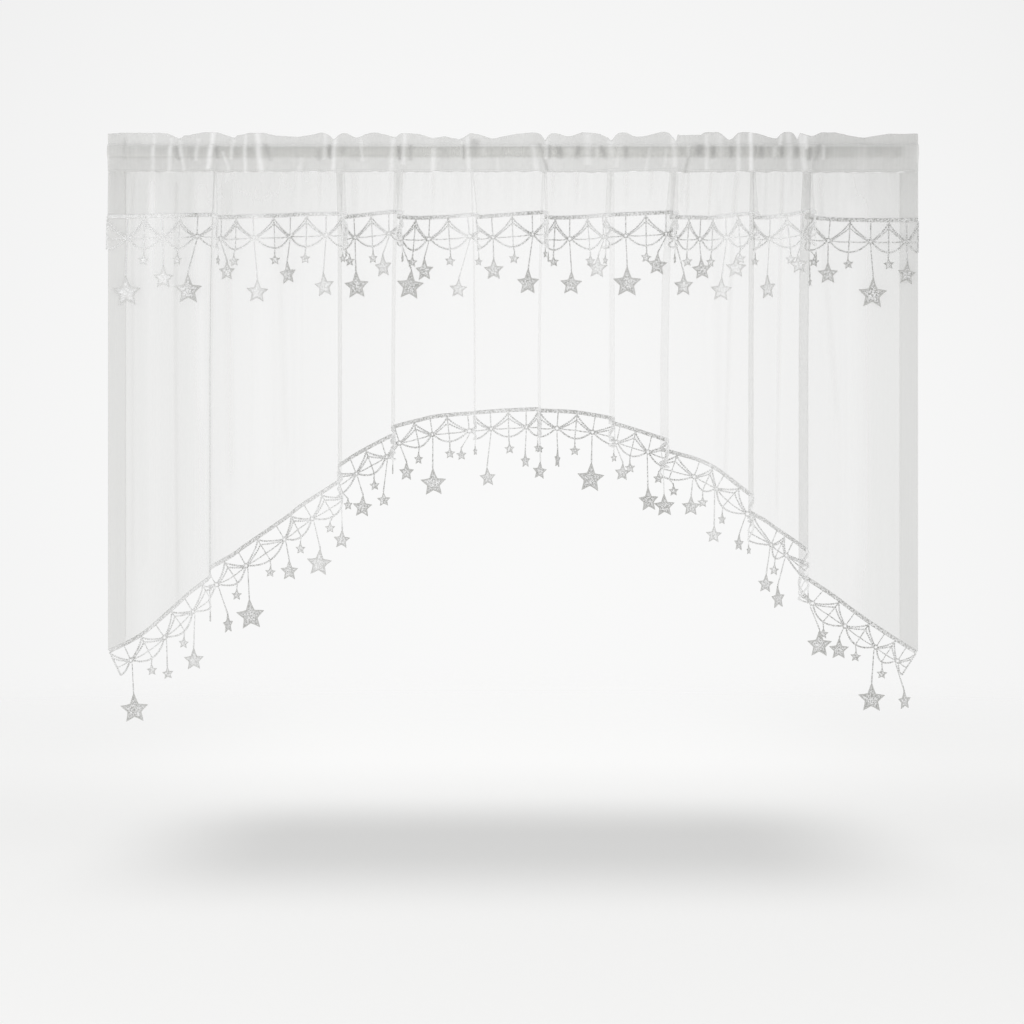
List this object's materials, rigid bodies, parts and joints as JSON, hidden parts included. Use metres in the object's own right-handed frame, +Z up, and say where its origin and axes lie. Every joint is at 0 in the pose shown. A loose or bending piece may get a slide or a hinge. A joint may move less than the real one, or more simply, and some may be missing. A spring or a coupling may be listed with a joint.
{
  "type": "cafe curtain on a curtain rod",
  "caption": "Sheer cafe curtain with an arched hem, a short overlay, a ruffled rod pocket and star lace trims, hung on a plain round curtain rod.",
  "frame": {"origin": "middle of the rod's axis", "axes": "+X along the rod, from left to right as seen from the room; -Y towards the room; +Z up"},
  "size_m": [1.2008, 0.0643, 0.875],
  "materials": {
    "rod_paint": "smooth pale enamel on a thin steel tube",
    "voile": "sheer plain woven white voile, matt",
    "lace": "off-white embroidered thread lace, slight sheen"
  },
  "bodies": {
    "root": {"rod": "rod_paint", "heading": "voile", "panel": "voile", "overlay": "voile", "upper_lace": "lace", "lower_lace": "lace"}
  },
  "joints": []
}
